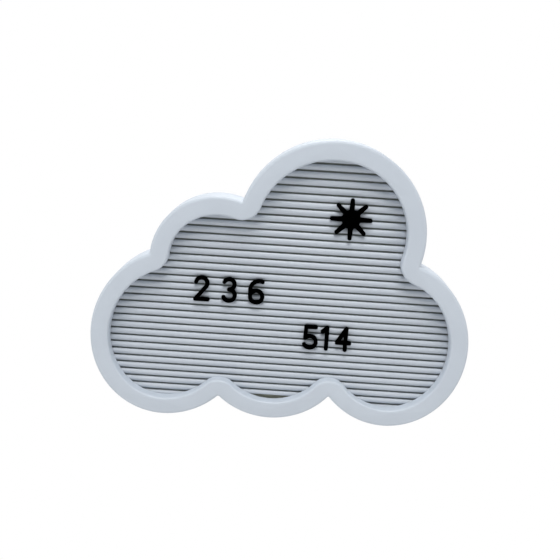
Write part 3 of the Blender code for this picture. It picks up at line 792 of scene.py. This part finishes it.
def screw_blank():
    """One screw at the board's middle: a domed head with a cross recess, and a ridged shank that narrows."""
    head_top = SCREW_SEAT_Y + SCREW_HEAD_HEIGHT
    head = rod(0.0, 0.0, SCREW_HEAD_RADIUS, SCREW_SEAT_Y, head_top, 40)
    edit(head)
    pick("EDGE", lambda edge: is_corner(edge) and near(middle(edge).y, head_top))
    bpy.ops.mesh.bevel(offset=SCREW_HEAD_ROUNDING, segments=4, profile=0.5)
    leave()
    root_radius = SCREW_SHANK_RADIUS - THREAD_DEPTH
    shank = rod(0.0, 0.0, root_radius, SCREW_END_Y, SCREW_SEAT_Y + SCREW_HEAD_HEIGHT / 2, 20)
    edit(shank)
    pitch = (SCREW_SEAT_Y - SCREW_END_Y) / (THREAD_TURNS + 1)
    for ridge in range(1, THREAD_TURNS + 1):
        y = SCREW_SEAT_Y - pitch * ridge
        for step in (-THREAD_FLANK, 0.0, THREAD_FLANK):
            bpy.ops.mesh.select_all(action="SELECT")
            bpy.ops.mesh.bisect(plane_co=(0.0, y + step * pitch, 0.0), plane_no=(0.0, 1.0, 0.0))
        pick("VERT", lambda corner: near(corner.co.y, y))
        swell = SCREW_SHANK_RADIUS / root_radius
        bpy.ops.transform.resize(value=(swell, 1.0, swell), center_override=(0.0, y, 0.0))
    pick("FACE", lambda face: face.normal.y < -0.9 and near(face.calc_center_median().y, SCREW_END_Y))
    bpy.ops.transform.resize(value=(SCREW_POINT_SHARE, 1.0, SCREW_POINT_SHARE),
                             center_override=(0.0, SCREW_END_Y, 0.0))
    leave()
    combine(head, "UNION", shank)
    long, half = RECESS_SPAN / 2, RECESS_WIDTH / 2
    low_y, high_y = head_top - RECESS_DEPTH, head_top + RECESS_DEPTH
    bars = [block((-a, low_y, -b), (a, high_y, b)) for a, b in ((long, half), (half, long))]
    for bar in bars:
        edit(bar)
        pick("FACE", lambda face: face.normal.y < -0.9)
        bpy.ops.transform.resize(value=(RECESS_FLOOR_SHARE, 1.0, RECESS_FLOOR_SHARE))
        leave()
    combine(head, "DIFFERENCE", *bars)
    tidy(head)
    return head


def zinc_steel():
    """Bright zinc plating, slightly cloudy, with fine marks drawn along the screw."""
    finish = Finish("zinc_steel", Metallic=1.0)
    cloudiness = finish.noise(1.5 * MM, 3.0)
    finish.feed("Base Color", finish.blend(cloudiness, (0.50, 0.51, 0.53), (0.66, 0.67, 0.69)))
    finish.feed("Roughness", finish.range(cloudiness, 0.25, 0.75, 0.26, 0.42))
    finish.feed("Normal", finish.relief((finish.noise(0.2 * MM, 2.0, stretch=(1.0, 0.1, 1.0)), 0.004 * MM)))
    return finish.material


STEEL = zinc_steel()
blank = screw_blank()
for number, name in enumerate(screws):
    choose(blank)
    bpy.ops.object.duplicate()
    low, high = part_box(name)
    bpy.context.object.location = ((low.x + high.x) / 2, 0.0, (low.z + high.z) / 2)
    bpy.context.object.rotation_euler = (0.0, math.radians(SCREW_TURN_DEGREES * number), 0.0)
    dress(settled(name.replace("cover_screw", "zinc_screw")), STEEL, name)
bpy.data.objects.remove(blank)
bpy.data.objects.remove(cloud)

# Camera and light: the board seen a little from above against plain white, under a broad soft light
# overhead, with a weaker one at each side and one over the back. Each lamp has its place, size and power.
CAMERA_PLACE = (2.8 * MM, -454.5 * MM, 136.5 * MM)
CAMERA_TURN = (73.37, -3.39, 1.59)
CAMERA_LENS = 41.87
CAMERA_SENSOR = 36.0
CAMERA_CLIP_START = 0.01
LAMPS = (
    ((0.0, -1.0, 2.3), 1.3, 46.0),
    ((-1.6, -0.8, 0.35), 1.2, 9.0),
    ((1.6, -0.8, 0.35), 1.2, 7.0),
    ((0.0, 1.3, 1.6), 1.2, 20.0),
)
LAMP_COLOUR = (1.0, 0.985, 0.965)
FILL_STRENGTH = 0.27
SKY_COLOUR = (0.97, 0.985, 1.0, 1.0)
FLOOR_SIZE = 6.0
FLOOR_Z = -0.45
FLOOR_COLOUR = (0.8, 0.8, 0.8, 1.0)

bpy.ops.object.camera_add(location=CAMERA_PLACE, rotation=[math.radians(turn) for turn in CAMERA_TURN])
camera = bpy.context.object
camera.data.lens = CAMERA_LENS
camera.data.sensor_width = CAMERA_SENSOR
camera.data.clip_start = CAMERA_CLIP_START
bpy.context.scene.camera = camera

for place, size, power in LAMPS:
    bpy.ops.object.light_add(type="AREA", location=place)
    lamp = bpy.context.object
    lamp.data.shape = "DISK"
    lamp.data.size = size
    lamp.data.energy = power
    lamp.data.color = LAMP_COLOUR
    lamp.rotation_euler = (-Vector(place)).to_track_quat("-Z", "Y").to_euler()


def seen_white(tree, lit, output):
    """Plain white for camera, mirrored and transmitted rays, and the lit look for everything else."""
    rays = tree.nodes.new("ShaderNodeLightPath")
    glow = "ShaderNodeEmission" if output.type == "OUTPUT_MATERIAL" else "ShaderNodeBackground"
    white = tree.nodes.new(glow)
    white.inputs["Color"].default_value = (1.0, 1.0, 1.0, 1.0)
    white.inputs["Strength"].default_value = 1.0
    seen = None
    for kind in ("Is Camera Ray", "Is Glossy Ray", "Is Transmission Ray"):
        if seen is None:
            seen = rays.outputs[kind]
            continue
        either = tree.nodes.new("ShaderNodeMath")
        either.operation = "MAXIMUM"
        tree.links.new(seen, either.inputs[0])
        tree.links.new(rays.outputs[kind], either.inputs[1])
        seen = either.outputs[0]
    choice = tree.nodes.new("ShaderNodeMixShader")
    tree.links.new(seen, choice.inputs[0])
    tree.links.new(lit.outputs[0], choice.inputs[1])
    tree.links.new(white.outputs[0], choice.inputs[2])
    tree.links.new(choice.outputs[0], output.inputs["Surface"])


world = bpy.data.worlds.new("studio")
bpy.context.scene.world = world
world.use_nodes = True
sky = world.node_tree.nodes["Background"]
sky.inputs["Color"].default_value = SKY_COLOUR
sky.inputs["Strength"].default_value = FILL_STRENGTH
seen_white(world.node_tree, sky, world.node_tree.nodes["World Output"])

bpy.ops.mesh.primitive_plane_add(size=FLOOR_SIZE, location=(0.0, 0.0, FLOOR_Z))
floor = settled("floor")
pale = bpy.data.materials.new("pale_floor")
pale.use_nodes = True
pale_shader = pale.node_tree.nodes["Principled BSDF"]
pale_shader.inputs["Base Color"].default_value = FLOOR_COLOUR
seen_white(pale.node_tree, pale_shader, pale.node_tree.nodes["Material Output"])
floor.data.materials.append(pale)

bpy.context.scene.view_settings.view_transform = "Standard"
